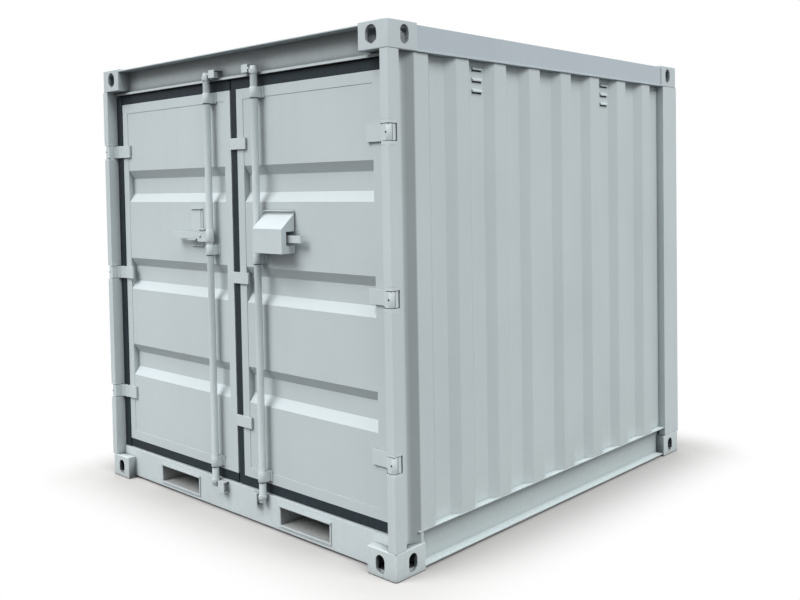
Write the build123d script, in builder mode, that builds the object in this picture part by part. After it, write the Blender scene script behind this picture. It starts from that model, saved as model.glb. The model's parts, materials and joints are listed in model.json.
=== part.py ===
"""Eight foot steel storage container with a pair of doors at one end.

X runs along the container from the door end (low X) to the rear wall, Y runs
across it with the right-hand side at low Y, and Z is up.  The origin lies on
the ground, midway between the four bottom corner castings.
"""
import os

from build123d import *

os.makedirs("parts", exist_ok=True)

# Overall size, measured over the corner castings
LENGTH = 2438.0
WIDTH = 2200.0
HEIGHT = 2260.0

# Corner castings
CASTING_LENGTH = 178.0
CASTING_WIDTH = 162.0
CASTING_HEIGHT = 118.0
CASTING_CORNER_RADIUS = 14.0
CASTING_EDGE_RADIUS = 5.0
CASTING_WALL = 16.0
CASTING_PLATE = 28.0
TWIST_SLOT_LENGTH = 124.0
TWIST_SLOT_WIDTH = 63.5
TWIST_INSET_LENGTH = 102.5
TWIST_INSET_WIDTH = 89.5
HAND_HOLE_HEIGHT = 79.5
HAND_HOLE_WIDTH = 51.0
SHIELD_HOLE_WIDTH = 63.5
SHIELD_SHOULDER_RADIUS = 14.0
SHIELD_SHOULDER_HEIGHT = 24.0
SHIELD_FOOT_RADIUS = 17.0
HAND_HOLE_EDGE = 16.0

# Corner posts at the door end, set out from the door end and from the side
POST_FLANGE_WIDTH = 42.0
POST_FLANGE_DEPTH = 66.0
POST_STEP_DEPTH = 60.0
JAMB = 52.0
DOOR_STOP_DEPTH = 118.0
DOOR_STOP_REACH = 80.0
POST_DEPTH = 150.0

# Corner posts at the rear end
REAR_POST_WIDTH = 160.0
REAR_POST_SHEET = 6.0

# Corrugated wall sheet
SHEET = 4.0
RIB_SET = 8.0
RIB_DEPTH = 32.0
RIB_PITCH = 269.0
RIB_CREST = 86.0
RIB_SLOPE = 45.0
RIB_START = 164.0
ROOF_RIB_PITCH = 209.0
ROOF_RIB_CREST = 90.0
ROOF_RIB_SLOPE = 25.0
ROOF_RIB_DEPTH = 20.0

# Rails
RAIL_DROP = 9.0
TOP_RAIL_SET = 4.0
TOP_RAIL_INNER = 48.0
TOP_RAIL_LIP = 8.0
SIDE_RAIL_BOTTOM = 12.0
SIDE_RAIL_TOP = 168.0
SIDE_RAIL_SET = 6.0
SIDE_RAIL_WEB = 56.0
RAIL_SHEET = 6.0

# Door header and door sill
HEADER_HEIGHT = 138.0
HEADER_WEB_DEPTH = 66.0
HEADER_FLANGE_DEPTH = 4.0
HEADER_LIP_DEPTH = 46.0
HEADER_LIP_HEIGHT = 12.0
HEADER_STOP_DROP = 28.0
SILL_FACE_DEPTH = 46.0
SILL_TOP = 160.0
SILL_BOTTOM = 12.0

# Floor and the members under it
FLOOR_TOP = 158.0
FLOOR_BOARD = 28.0
MEMBER_HEIGHT = 90.0
MEMBER_FLANGE = 45.0
MEMBER_SHEET = 5.0
MEMBER_ROWS = 4
POCKET_WIDTH = 340.0
POCKET_HEIGHT = 86.0
POCKET_CENTRE = 493.0
POCKET_FLOOR = 40.0
POCKET_WALL = 6.0

# Doors
DOOR_FACE_DEPTH = 60.0
DOOR_THICKNESS = 50.0
DOOR_FOOT_GAP = 49.0
DOOR_HEAD_GAP = 52.0
DOOR_EDGE = 96.0
DOOR_LEFT_EDGE = 14.0
DOOR_RIGHT_EDGE = -37.0
DOOR_FRAME = 50.0
PANEL_SET = 2.0
PANEL_SHEET = 4.0
GROOVE_PITCH = 480.0
GROOVE_MOUTH = 172.0
GROOVE_FLAT = 82.0
GROOVE_DEPTH = 28.0
SWING_CLEARANCE = 5.0
MEETING_CLEARANCE = 9.0
GASKET_SET = 2.0
GASKET_THICKNESS = 28.0
GASKET_LIP_RISE = 4.0
GASKET_LIP_THICKNESS = 3.5
GASKET_LIP_GAP = 3.0

# Door hinges
PIN_DEPTH = 16.0
PIN_SIDE = 16.0
PIN_RADIUS = 8.0
PIN_CLEARANCE = 0.5
KNUCKLE_RADIUS = 15.0
BLADE_HEIGHT = 66.0
BLADE_THICKNESS = 10.0
BLADE_END = 175.0
BLADE_BRIDGE = 4.5
BLADE_BRIDGE_START = 60.0
STRAP_FLAT = 18.0
STRAP_EDGE_SET = 2.5
CRANK_DEPTH = 33.0
HINGE_FOOT_INSET = 266.0
HINGE_HEAD_INSET = 259.0
NOTCH_HEIGHT = 100.0
NOTCH_DEPTH = 50.0
KNUCKLE_GAP = 3.0

# Lock bars
BAR_RADIUS = 17.0
BAR_DEPTH = 25.0
BAR_LEFT = 153.0
BAR_RIGHT = -220.0
BAR_REACH_ABOVE = 40.0
BAR_REACH_BELOW = 32.0
GUIDE_HEIGHT = 50.0
GUIDE_RADIUS = 20.5
GUIDE_CLEARANCE = 0.5
GUIDE_BASE = 32.0
GUIDE_FOOT = 6.0
GUIDE_FOOT_INSET = 41.0
GUIDE_HEAD_INSET = 30.0
GUIDE_BELOW_HANDLE = 69.0
CAM_RADIUS = 19.5
CAM_NOSE = 24.0
CAM_NOSE_RADIUS = 9.0
CAM_THICKNESS = 18.0
CAM_INSET = 18.0
KEEPER_NEAR = 33.0
KEEPER_FAR = 78.0
KEEPER_PROJECTION = 52.0
KEEPER_HEIGHT = 38.0
KEEPER_TONGUE = 22.5
KEEPER_TONGUE_THICKNESS = 10.0
KEEPER_TONGUE_DROP = 3.0
KEEPER_TONGUE_WIDTH = 22.0
KEEPER_STRAP = 5.0
KEEPER_STRAP_HEIGHT = 54.0
KEEPER_STRAP_PROJECTION = 33.0

# Handles
HANDLE_LEVEL = 1368.0
HANDLE_LENGTH = 312.0
HANDLE_WIDTH = 32.0
HANDLE_THICKNESS = 12.0
HUB_HEIGHT = 60.0
HUB_LENGTH = 92.0
HUB_CHEEK = 5.0
HUB_COLLAR = 3.0
HUB_PIVOT = 68.0
HUB_PIVOT_RADIUS = 6.0
HANDLE_CLEARANCE = 0.5
CATCH_NEAR = 116.0
CATCH_FAR = 191.0
CATCH_SHELF = 8.0
CATCH_REACH = 42.0
CATCH_PLATE = 4.0
CATCH_PLATE_MARGIN = 10.0
CATCH_PLATE_DROP = 32.0
CATCH_PLATE_HEIGHT = 150.0

# Lock box around the right-hand hub
BOX_NEAR = 22.0
BOX_WIDTH = 208.0
BOX_BELOW_HANDLE = 66.0
BOX_ABOVE_HANDLE = 115.0
BOX_SHOULDER_HEIGHT = 46.0
BOX_FRONT_DEPTH = -20.0
BOX_BACK_DEPTH = 57.0
BOX_SHEET = 4.0
BOX_SLOT_ABOVE_HANDLE = 33.0
BOX_SLOT_DEPTH = 8.0
BOX_GUIDE_GAP = 5.0

# Centre tabs on the meeting edge
TAB_LENGTH = 116.0
TAB_HEIGHT = 54.0
TAB_THICKNESS = 10.0
TAB_MIDDLE_RAISE = 26.0

# Vents
VENT_WIDTH = 70.0
VENT_PITCH = 49.0
VENT_ROWS = 3
VENT_DROP = 156.0
VENT_PROJECTION = 10.0
VENT_HEIGHT = 16.0

# Places worked out from the sizes above
DOOR_X = -LENGTH / 2
REAR_X = LENGTH / 2
RIGHT_Y = -WIDTH / 2
CASTING_TOP = CASTING_HEIGHT
CASTING_UNDER = HEIGHT - CASTING_HEIGHT
VALLEY_SET = RIB_SET + RIB_DEPTH
REAR_POST_RETURN = VALLEY_SET
RAIL_TOP = HEIGHT - RAIL_DROP
HEADER_BOTTOM = HEIGHT - HEADER_HEIGHT
DOOR_BOTTOM = SILL_TOP + DOOR_FOOT_GAP
DOOR_TOP = HEADER_BOTTOM - DOOR_HEAD_GAP
DOOR_MIDDLE = (DOOR_BOTTOM + DOOR_TOP) / 2
HINGE_FOOT = DOOR_BOTTOM + HINGE_FOOT_INSET
HINGE_HEAD = DOOR_TOP - HINGE_HEAD_INSET
HINGE_HEIGHTS = (HINGE_FOOT, (HINGE_FOOT + HINGE_HEAD) / 2, HINGE_HEAD)
BAR_BOTTOM = SILL_TOP - BAR_REACH_BELOW
BAR_TOP = HEADER_BOTTOM + BAR_REACH_ABOVE
BOX_BOTTOM = HANDLE_LEVEL - BOX_BELOW_HANDLE
BOX_TOP = HANDLE_LEVEL + BOX_ABOVE_HANDLE
BOX_SHOULDER = HANDLE_LEVEL + BOX_SHOULDER_HEIGHT
BOX_SLOT_TOP = HANDLE_LEVEL + BOX_SLOT_ABOVE_HANDLE
BOX_SLOT_BOTTOM = HANDLE_LEVEL - HUB_HEIGHT / 2


def finish(piece, name):
    """Label a finished piece and write it to a file of its own."""
    piece.part.label = name
    export_step(piece.part, f"parts/{name}.step")


def finish_pair(piece, name):
    """Write a right-hand piece, and its mirror image for the left-hand side."""
    finish(piece, f"{name}_right")
    with BuildPart() as opposite:
        mirror(piece.part, about=Plane.XZ)
    finish(opposite, f"{name}_left")


def fitting_count(start, end, pitch, crest, slope):
    """How many waves fit between two places, the first one's slope beginning at the start."""
    return int((end - start - crest - 2 * slope) // pitch) + 1


def wave(start, end, first, pitch, crest, slope, count):
    """Points of a trapezoid wave: (place along the sheet, 0 in a valley or 1 on a crest)."""
    points = [(start, 0.0)]
    for index in range(count):
        rise = first + index * pitch
        points += [(rise - slope, 0.0), (rise, 1.0), (rise + crest, 1.0), (rise + crest + slope, 0.0)]
    return points + [(end, 0.0)]


def sheet_outline(points, valley, crest, thickness):
    """Closed outline of a folded sheet, its two faces the sheet's thickness apart."""
    outer = [(u, valley + (crest - valley) * v) for u, v in points]
    inner = [(u, w + thickness) for u, w in reversed(outer)]
    return outer + inner + [outer[0]]


# Corner castings
def casting_body(upper):
    """Hollow casting at the door end's right-hand corner, with its three holes."""
    base = CASTING_UNDER if upper else 0.0
    outer_face = HEIGHT if upper else 0.0
    slot_x = DOOR_X + TWIST_INSET_LENGTH
    slot_y = RIGHT_Y + TWIST_INSET_WIDTH
    hole_z = outer_face + (-1 if upper else 1) * (HAND_HOLE_EDGE + HAND_HOLE_HEIGHT / 2)
    with BuildPart() as casting:
        with BuildSketch(Plane.XY.offset(base)):
            with Locations((DOOR_X + CASTING_LENGTH / 2, RIGHT_Y + CASTING_WIDTH / 2)):
                Rectangle(CASTING_LENGTH, CASTING_WIDTH)
        extrude(amount=CASTING_HEIGHT)
        corner = casting.edges().filter_by(Axis.Z).sort_by_distance((DOOR_X, RIGHT_Y, base))[0]
        fillet(corner, radius=CASTING_CORNER_RADIUS)
        front = casting.faces().sort_by(Axis.X)[0]
        side = casting.faces().sort_by(Axis.Y)[0]
        rims = front.edges().filter_by(Axis.Y) + side.edges().filter_by(Axis.X)
        rims += casting.edges().filter_by(GeomType.CIRCLE)
        fillet(rims, radius=CASTING_EDGE_RADIUS)
        with BuildSketch(Plane.XY.offset(base + CASTING_PLATE)):
            with Locations((DOOR_X + CASTING_LENGTH / 2, RIGHT_Y + CASTING_WIDTH / 2)):
                Rectangle(CASTING_LENGTH - 2 * CASTING_WALL, CASTING_WIDTH - 2 * CASTING_WALL)
        extrude(amount=CASTING_HEIGHT - 2 * CASTING_PLATE, mode=Mode.SUBTRACT)
        with BuildSketch(Plane.XY.offset(HEIGHT - CASTING_PLATE if upper else 0.0)):
            with Locations((slot_x, slot_y)):
                SlotOverall(TWIST_SLOT_LENGTH, TWIST_SLOT_WIDTH)
        extrude(amount=CASTING_PLATE, mode=Mode.SUBTRACT)
        with BuildSketch(Plane.YZ.offset(DOOR_X)):
            with Locations((slot_y, hole_z)):
                hand_hole(SHIELD_HOLE_WIDTH if upper else HAND_HOLE_WIDTH, upper)
        extrude(amount=CASTING_WALL, mode=Mode.SUBTRACT)
        with BuildSketch(Plane.XZ.offset(-RIGHT_Y)):
            with Locations((slot_x, hole_z)):
                hand_hole(HAND_HOLE_WIDTH, False)
        extrude(amount=-CASTING_WALL, mode=Mode.SUBTRACT)
    return casting


def hand_hole(width, shield_shaped):
    """Tall hole in a casting's wall: round ended, or round above and narrowing to a blunt foot."""
    if not shield_shaped:
        return SlotOverall(HAND_HOLE_HEIGHT, width, rotation=90)
    foot = -HAND_HOLE_HEIGHT / 2
    shoulder = width / 2 - SHIELD_SHOULDER_RADIUS
    with BuildSketch(mode=Mode.PRIVATE) as shield:
        with Locations((0, HAND_HOLE_HEIGHT / 2 - width / 2)):
            Circle(width / 2)
        with Locations((-shoulder, foot + SHIELD_SHOULDER_HEIGHT), (shoulder, foot + SHIELD_SHOULDER_HEIGHT)):
            Circle(SHIELD_SHOULDER_RADIUS)
        with Locations((0, foot + SHIELD_FOOT_RADIUS)):
            Circle(SHIELD_FOOT_RADIUS)
        make_hull()
    return add(shield.sketch)


for level in ("bottom", "top"):
    corner_casting = casting_body(level == "top")
    with BuildPart() as castings:
        add(corner_casting.part)
        mirror(about=Plane.XZ)
        mirror(about=Plane.YZ)
    finish(castings, f"{level}_corner_castings")

# Corner posts at the door end, notched at each hinge
with BuildPart() as door_post:
    with BuildSketch(Plane.XY.offset(CASTING_TOP)):
        with BuildLine():
            Polyline(
                (DOOR_X, RIGHT_Y),
                (DOOR_X, RIGHT_Y + POST_FLANGE_WIDTH),
                (DOOR_X + POST_STEP_DEPTH, RIGHT_Y + POST_FLANGE_WIDTH),
                (DOOR_X + POST_STEP_DEPTH, RIGHT_Y + JAMB),
                (DOOR_X + DOOR_STOP_DEPTH, RIGHT_Y + JAMB),
                (DOOR_X + DOOR_STOP_DEPTH, RIGHT_Y + DOOR_STOP_REACH),
                (DOOR_X + POST_DEPTH, RIGHT_Y + DOOR_STOP_REACH),
                (DOOR_X + POST_DEPTH, RIGHT_Y + VALLEY_SET + SHEET),
                (DOOR_X + POST_FLANGE_DEPTH, RIGHT_Y + VALLEY_SET + SHEET),
                (DOOR_X + POST_FLANGE_DEPTH, RIGHT_Y),
                close=True,
            )
        make_face()
    extrude(amount=CASTING_UNDER - CASTING_TOP)
    for height in HINGE_HEIGHTS:
        with BuildSketch(Plane.XY.offset(height - NOTCH_HEIGHT / 2)):
            with Locations((DOOR_X + NOTCH_DEPTH / 2, RIGHT_Y + POST_FLANGE_WIDTH / 2)):
                Rectangle(NOTCH_DEPTH, POST_FLANGE_WIDTH)
        extrude(amount=NOTCH_HEIGHT, mode=Mode.SUBTRACT)
finish_pair(door_post, "door_post")

# Corner posts at the rear end, a folded angle with short returns
with BuildPart() as rear_post:
    with BuildSketch(Plane.XY.offset(CASTING_TOP)):
        with BuildLine():
            Polyline(
                (REAR_X, RIGHT_Y),
                (REAR_X, RIGHT_Y + REAR_POST_WIDTH),
                (REAR_X - REAR_POST_RETURN, RIGHT_Y + REAR_POST_WIDTH),
                (REAR_X - REAR_POST_RETURN, RIGHT_Y + REAR_POST_WIDTH - REAR_POST_SHEET),
                (REAR_X - REAR_POST_SHEET, RIGHT_Y + REAR_POST_WIDTH - REAR_POST_SHEET),
                (REAR_X - REAR_POST_SHEET, RIGHT_Y + REAR_POST_SHEET),
                (REAR_X - REAR_POST_WIDTH + REAR_POST_SHEET, RIGHT_Y + REAR_POST_SHEET),
                (REAR_X - REAR_POST_WIDTH + REAR_POST_SHEET, RIGHT_Y + REAR_POST_RETURN),
                (REAR_X - REAR_POST_WIDTH, RIGHT_Y + REAR_POST_RETURN),
                (REAR_X - REAR_POST_WIDTH, RIGHT_Y),
                close=True,
            )
        make_face()
    extrude(amount=CASTING_UNDER - CASTING_TOP)
finish_pair(rear_post, "rear_post")

# Side walls, folded into vertical ribs and cut through at each vent
wall_start = DOOR_X + POST_FLANGE_DEPTH
wall_end = REAR_X - REAR_POST_WIDTH + REAR_POST_SHEET
first_rib = DOOR_X + RIB_START
rib_count = fitting_count(first_rib - RIB_SLOPE, wall_end, RIB_PITCH, RIB_CREST, RIB_SLOPE)
rib_points = wave(wall_start, wall_end, first_rib, RIB_PITCH, RIB_CREST, RIB_SLOPE, rib_count)
vent_places = [first_rib + (n + 0.5) * RIB_PITCH + RIB_CREST / 2 for n in (1, rib_count - 3)]
vent_heights = [HEIGHT - VENT_DROP - n * VENT_PITCH for n in range(VENT_ROWS)]
with BuildPart() as side_wall:
    with BuildSketch(Plane.XY.offset(SIDE_RAIL_TOP)):
        with BuildLine():
            Polyline(*sheet_outline(rib_points, RIGHT_Y + VALLEY_SET, RIGHT_Y + RIB_SET, SHEET))
        make_face()
    extrude(amount=CASTING_UNDER - SIDE_RAIL_TOP)
finish_pair(side_wall, "side_wall")

# Rear wall between the rear posts
rear_wall_half = WIDTH / 2 - REAR_POST_WIDTH + REAR_POST_SHEET
rear_count = fitting_count(-rear_wall_half, rear_wall_half, RIB_PITCH, RIB_CREST, RIB_SLOPE)
rear_first = -(rear_count - 1) / 2 * RIB_PITCH - RIB_CREST / 2
rear_points = wave(-rear_wall_half, rear_wall_half, rear_first, RIB_PITCH, RIB_CREST, RIB_SLOPE, rear_count)
with BuildPart() as rear_wall:
    with BuildSketch(Plane.XY.offset(SIDE_RAIL_TOP)):
        with BuildLine():
            outline = sheet_outline(rear_points, VALLEY_SET, RIB_SET, SHEET)
            Polyline(*[(REAR_X - depth, across) for across, depth in outline])
        make_face()
    extrude(amount=CASTING_UNDER - SIDE_RAIL_TOP)
finish(rear_wall, "rear_wall")

# Castings' own space, kept clear of every rail
def cut_castings():
    """Cut the room that the eight castings take out of the current part."""
    with Locations((0, 0, CASTING_HEIGHT / 2), (0, 0, HEIGHT - CASTING_HEIGHT / 2)):
        with GridLocations(LENGTH - CASTING_LENGTH, WIDTH - CASTING_WIDTH, 2, 2):
            Box(CASTING_LENGTH, CASTING_WIDTH, CASTING_HEIGHT, mode=Mode.SUBTRACT)


# Bottom side rails, channels open to the outside
with BuildPart() as bottom_rail:
    with BuildSketch(Plane.YZ.offset(DOOR_X + POST_DEPTH)):
        with BuildLine():
            Polyline(
                (RIGHT_Y + SIDE_RAIL_SET, SIDE_RAIL_BOTTOM),
                (RIGHT_Y + SIDE_RAIL_WEB, SIDE_RAIL_BOTTOM),
                (RIGHT_Y + SIDE_RAIL_WEB, SIDE_RAIL_TOP),
                (RIGHT_Y + SIDE_RAIL_SET, SIDE_RAIL_TOP),
                (RIGHT_Y + SIDE_RAIL_SET, SIDE_RAIL_TOP - RAIL_SHEET),
                (RIGHT_Y + SIDE_RAIL_WEB - RAIL_SHEET, SIDE_RAIL_TOP - RAIL_SHEET),
                (RIGHT_Y + SIDE_RAIL_WEB - RAIL_SHEET, SIDE_RAIL_BOTTOM + RAIL_SHEET),
                (RIGHT_Y + SIDE_RAIL_SET, SIDE_RAIL_BOTTOM + RAIL_SHEET),
                close=True,
            )
        make_face()
    extrude(amount=LENGTH - POST_DEPTH - REAR_POST_WIDTH)
    cut_castings()
finish_pair(bottom_rail, "bottom_rail")

# Top side rails, a tall plate with an outward lip along its foot
with BuildPart() as top_rail:
    with BuildSketch(Plane.YZ.offset(DOOR_X + CASTING_LENGTH)):
        with BuildLine():
            Polyline(
                (RIGHT_Y, CASTING_UNDER),
                (RIGHT_Y + TOP_RAIL_INNER, CASTING_UNDER),
                (RIGHT_Y + TOP_RAIL_INNER, RAIL_TOP),
                (RIGHT_Y + TOP_RAIL_SET, RAIL_TOP),
                (RIGHT_Y + TOP_RAIL_SET, CASTING_UNDER + TOP_RAIL_LIP),
                (RIGHT_Y, CASTING_UNDER + TOP_RAIL_LIP),
                close=True,
            )
        make_face()
    extrude(amount=LENGTH - 2 * CASTING_LENGTH)
finish_pair(top_rail, "top_rail")

# Roof sheet, folded across the container, between the top rails
roof_start = DOOR_X + HEADER_WEB_DEPTH + RAIL_SHEET
roof_end = REAR_X - TOP_RAIL_INNER
roof_middle = (roof_start + roof_end) / 2
roof_count = fitting_count(roof_start, roof_end, ROOF_RIB_PITCH, ROOF_RIB_CREST, ROOF_RIB_SLOPE)
roof_first = roof_middle - (roof_count - 1) / 2 * ROOF_RIB_PITCH - ROOF_RIB_CREST / 2
roof_points = wave(roof_start, roof_end, roof_first,
                   ROOF_RIB_PITCH, ROOF_RIB_CREST, ROOF_RIB_SLOPE, roof_count)
roof_half = WIDTH / 2 - CASTING_WIDTH
with BuildPart() as roof:
    with BuildSketch(Plane.XZ.offset(-roof_half)):
        with BuildLine():
            valley = RAIL_TOP - ROOF_RIB_DEPTH - SHEET
            Polyline(*sheet_outline(roof_points, valley, RAIL_TOP - SHEET, SHEET))
        make_face()
    extrude(amount=2 * roof_half)
finish(roof, "roof")

# Flat margins of the roof sheet, between the castings and along the top rails
margin_width = CASTING_WIDTH - TOP_RAIL_INNER
with BuildPart() as roof_margins:
    with BuildSketch(Plane.XY.offset(RAIL_TOP - SHEET)):
        with GridLocations(1, 2 * roof_half + margin_width, 1, 2):
            Rectangle(LENGTH - 2 * CASTING_LENGTH, margin_width)
    extrude(amount=SHEET)
finish(roof_margins, "roof_margins")

# Door header, a channel open to the front: web, lip and stop for the doors, then its flange
header_half = WIDTH / 2 - JAMB
stop_middle = DOOR_X + (DOOR_STOP_DEPTH + POST_DEPTH) / 2
stop_side = (WIDTH - JAMB - DOOR_STOP_REACH) / 2
with BuildPart() as header:
    with BuildSketch(Plane.XZ.offset(-header_half)):
        with BuildLine():
            Polyline(
                (DOOR_X + HEADER_WEB_DEPTH, RAIL_TOP),
                (DOOR_X + HEADER_WEB_DEPTH + RAIL_SHEET, RAIL_TOP),
                (DOOR_X + HEADER_WEB_DEPTH + RAIL_SHEET, HEADER_BOTTOM + HEADER_LIP_HEIGHT),
                (DOOR_X + POST_DEPTH, HEADER_BOTTOM + HEADER_LIP_HEIGHT),
                (DOOR_X + POST_DEPTH, HEADER_BOTTOM - HEADER_STOP_DROP),
                (DOOR_X + DOOR_STOP_DEPTH, HEADER_BOTTOM - HEADER_STOP_DROP),
                (DOOR_X + DOOR_STOP_DEPTH, HEADER_BOTTOM),
                (DOOR_X + HEADER_LIP_DEPTH, HEADER_BOTTOM),
                (DOOR_X + HEADER_LIP_DEPTH, HEADER_BOTTOM + HEADER_LIP_HEIGHT),
                (DOOR_X + HEADER_WEB_DEPTH, HEADER_BOTTOM + HEADER_LIP_HEIGHT),
                close=True,
            )
        make_face()
    extrude(amount=2 * header_half)
    cut_castings()
    for side in (-1, 1):
        with BuildSketch(Plane.XY.offset(HEADER_BOTTOM - HEADER_STOP_DROP)):
            with Locations((stop_middle, side * stop_side)):
                Rectangle(POST_DEPTH - DOOR_STOP_DEPTH, DOOR_STOP_REACH - JAMB)
        extrude(amount=HEADER_STOP_DROP + HEADER_LIP_HEIGHT, mode=Mode.SUBTRACT)
finish(header, "door_header")

with BuildPart() as header_flange:
    with BuildSketch(Plane.XZ.offset(-WIDTH / 2 + CASTING_WIDTH)):
        with Locations((DOOR_X + (HEADER_FLANGE_DEPTH + HEADER_WEB_DEPTH) / 2, RAIL_TOP - RAIL_SHEET / 2)):
            Rectangle(HEADER_WEB_DEPTH - HEADER_FLANGE_DEPTH, RAIL_SHEET)
    extrude(amount=WIDTH - 2 * CASTING_WIDTH)
finish(header_flange, "header_flange")

# Door sill with the two fork pockets cut through it
def cut_pockets():
    """Cut the two fork tunnels' outer size out of the current part, from end to end."""
    with Locations((0, 0, POCKET_FLOOR + POCKET_HEIGHT / 2)):
        with GridLocations(1, 2 * POCKET_CENTRE, 1, 2):
            Box(LENGTH, POCKET_WIDTH + 2 * POCKET_WALL, POCKET_HEIGHT + 2 * POCKET_WALL, mode=Mode.SUBTRACT)


with BuildPart() as sill:
    with BuildSketch(Plane.XZ.offset(-header_half)):
        with BuildLine():
            Polyline(
                (DOOR_X + SILL_FACE_DEPTH, SILL_BOTTOM),
                (DOOR_X + POST_DEPTH, SILL_BOTTOM),
                (DOOR_X + POST_DEPTH, SILL_TOP),
                (DOOR_X + SILL_FACE_DEPTH, SILL_TOP),
                close=True,
            )
        make_face()
    extrude(amount=2 * header_half)
    cut_castings()
    cut_pockets()
    for side in (-1, 1):
        with BuildSketch(Plane.XY.offset(CASTING_TOP)):
            with Locations((stop_middle, side * stop_side)):
                Rectangle(POST_DEPTH - DOOR_STOP_DEPTH, DOOR_STOP_REACH - JAMB)
        extrude(amount=SILL_TOP - CASTING_TOP, mode=Mode.SUBTRACT)
finish(sill, "door_sill")

# Rear end rails
with BuildPart() as rear_top_rail:
    with BuildSketch(Plane.XZ.offset(-WIDTH / 2 + CASTING_WIDTH)):
        with BuildLine():
            Polyline(
                (REAR_X, CASTING_UNDER),
                (REAR_X - TOP_RAIL_INNER, CASTING_UNDER),
                (REAR_X - TOP_RAIL_INNER, RAIL_TOP),
                (REAR_X - TOP_RAIL_SET, RAIL_TOP),
                (REAR_X - TOP_RAIL_SET, CASTING_UNDER + TOP_RAIL_LIP),
                (REAR_X, CASTING_UNDER + TOP_RAIL_LIP),
                close=True,
            )
        make_face()
    extrude(amount=WIDTH - 2 * CASTING_WIDTH)
finish(rear_top_rail, "rear_top_rail")

with BuildPart() as rear_bottom_rail:
    with BuildSketch(Plane.XZ.offset(-WIDTH / 2 + REAR_POST_WIDTH)):
        with BuildLine():
            Polyline(
                (REAR_X - SIDE_RAIL_SET, SIDE_RAIL_BOTTOM),
                (REAR_X - SIDE_RAIL_WEB, SIDE_RAIL_BOTTOM),
                (REAR_X - SIDE_RAIL_WEB, SIDE_RAIL_TOP),
                (REAR_X - SIDE_RAIL_SET, SIDE_RAIL_TOP),
                (REAR_X - SIDE_RAIL_SET, SIDE_RAIL_TOP - RAIL_SHEET),
                (REAR_X - SIDE_RAIL_WEB + RAIL_SHEET, SIDE_RAIL_TOP - RAIL_SHEET),
                (REAR_X - SIDE_RAIL_WEB + RAIL_SHEET, SIDE_RAIL_BOTTOM + RAIL_SHEET),
                (REAR_X - SIDE_RAIL_SET, SIDE_RAIL_BOTTOM + RAIL_SHEET),
                close=True,
            )
        make_face()
    extrude(amount=WIDTH - 2 * REAR_POST_WIDTH)
    cut_castings()
    cut_pockets()
finish(rear_bottom_rail, "rear_bottom_rail")

# Fork tunnels, square tubes from the sill to the rear rail
tunnel_start = DOOR_X + SILL_FACE_DEPTH
tunnel_length = LENGTH - SILL_FACE_DEPTH - SIDE_RAIL_SET
with BuildPart() as tunnels:
    with BuildSketch(Plane.YZ.offset(tunnel_start)):
        with Locations((0, POCKET_FLOOR + POCKET_HEIGHT / 2)):
            with GridLocations(2 * POCKET_CENTRE, 1, 2, 1):
                Rectangle(POCKET_WIDTH + 2 * POCKET_WALL, POCKET_HEIGHT + 2 * POCKET_WALL)
                Rectangle(POCKET_WIDTH, POCKET_HEIGHT, mode=Mode.SUBTRACT)
    extrude(amount=tunnel_length)
finish(tunnels, "fork_tunnels")

# Floor boards
floor_start = DOOR_X + POST_DEPTH
floor_end = REAR_X - SIDE_RAIL_WEB
floor_half = WIDTH / 2 - SIDE_RAIL_WEB
with BuildPart() as floor:
    with BuildSketch(Plane.XY.offset(FLOOR_TOP - FLOOR_BOARD)):
        with Locations(((floor_start + floor_end) / 2, 0)):
            Rectangle(floor_end - floor_start, 2 * floor_half)
    extrude(amount=FLOOR_BOARD)
    with BuildSketch(Plane.XY.offset(POCKET_FLOOR + POCKET_HEIGHT)):
        with Locations(((floor_start + floor_end) / 2, 0)):
            with GridLocations(1, 2 * POCKET_CENTRE, 1, 2):
                Rectangle(floor_end - floor_start, POCKET_WIDTH + 2 * POCKET_WALL)
    extrude(amount=POCKET_WALL, mode=Mode.SUBTRACT)
    cut_castings()
finish(floor, "floor_boards")

# Cross members under the floor, in three lengths between rails and tunnels
tunnel_inner = POCKET_CENTRE - POCKET_WIDTH / 2 - POCKET_WALL
tunnel_outer = POCKET_CENTRE + POCKET_WIDTH / 2 + POCKET_WALL
member_spans = ((-floor_half, -tunnel_outer), (-tunnel_inner, tunnel_inner), (tunnel_outer, floor_half))
member_step = (floor_end - floor_start) / (MEMBER_ROWS + 1)
member_top = FLOOR_TOP - FLOOR_BOARD
with BuildPart() as members:
    for row in range(MEMBER_ROWS):
        member_x = floor_start + (row + 1) * member_step
        for span_start, span_end in member_spans:
            with BuildSketch(Plane.XZ.offset(-span_end)):
                with BuildLine():
                    Polyline(
                        (member_x, member_top - MEMBER_HEIGHT),
                        (member_x + MEMBER_FLANGE, member_top - MEMBER_HEIGHT),
                        (member_x + MEMBER_FLANGE, member_top - MEMBER_HEIGHT + MEMBER_SHEET),
                        (member_x + MEMBER_SHEET, member_top - MEMBER_HEIGHT + MEMBER_SHEET),
                        (member_x + MEMBER_SHEET, member_top - MEMBER_SHEET),
                        (member_x + MEMBER_FLANGE, member_top - MEMBER_SHEET),
                        (member_x + MEMBER_FLANGE, member_top),
                        (member_x, member_top),
                        close=True,
                    )
                make_face()
            extrude(amount=span_end - span_start)
finish(members, "cross_members")

# Vent louvres on the side walls
with BuildPart() as vents:
    for side in (-1, 1):
        face = side * (WIDTH / 2 - VALLEY_SET)
        for place in vent_places:
            with BuildSketch(Plane.YZ.offset(place - VENT_WIDTH / 2)):
                for height in vent_heights:
                    with BuildLine():
                        Polyline(
                            (face, height + VENT_HEIGHT),
                            (face + side * VENT_PROJECTION, height + VENT_HEIGHT / 3),
                            (face + side * VENT_PROJECTION, height),
                            (face, height),
                            close=True,
                        )
                    make_face()
            extrude(amount=VENT_WIDTH)
finish(vents, "vent_louvres")


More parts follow.
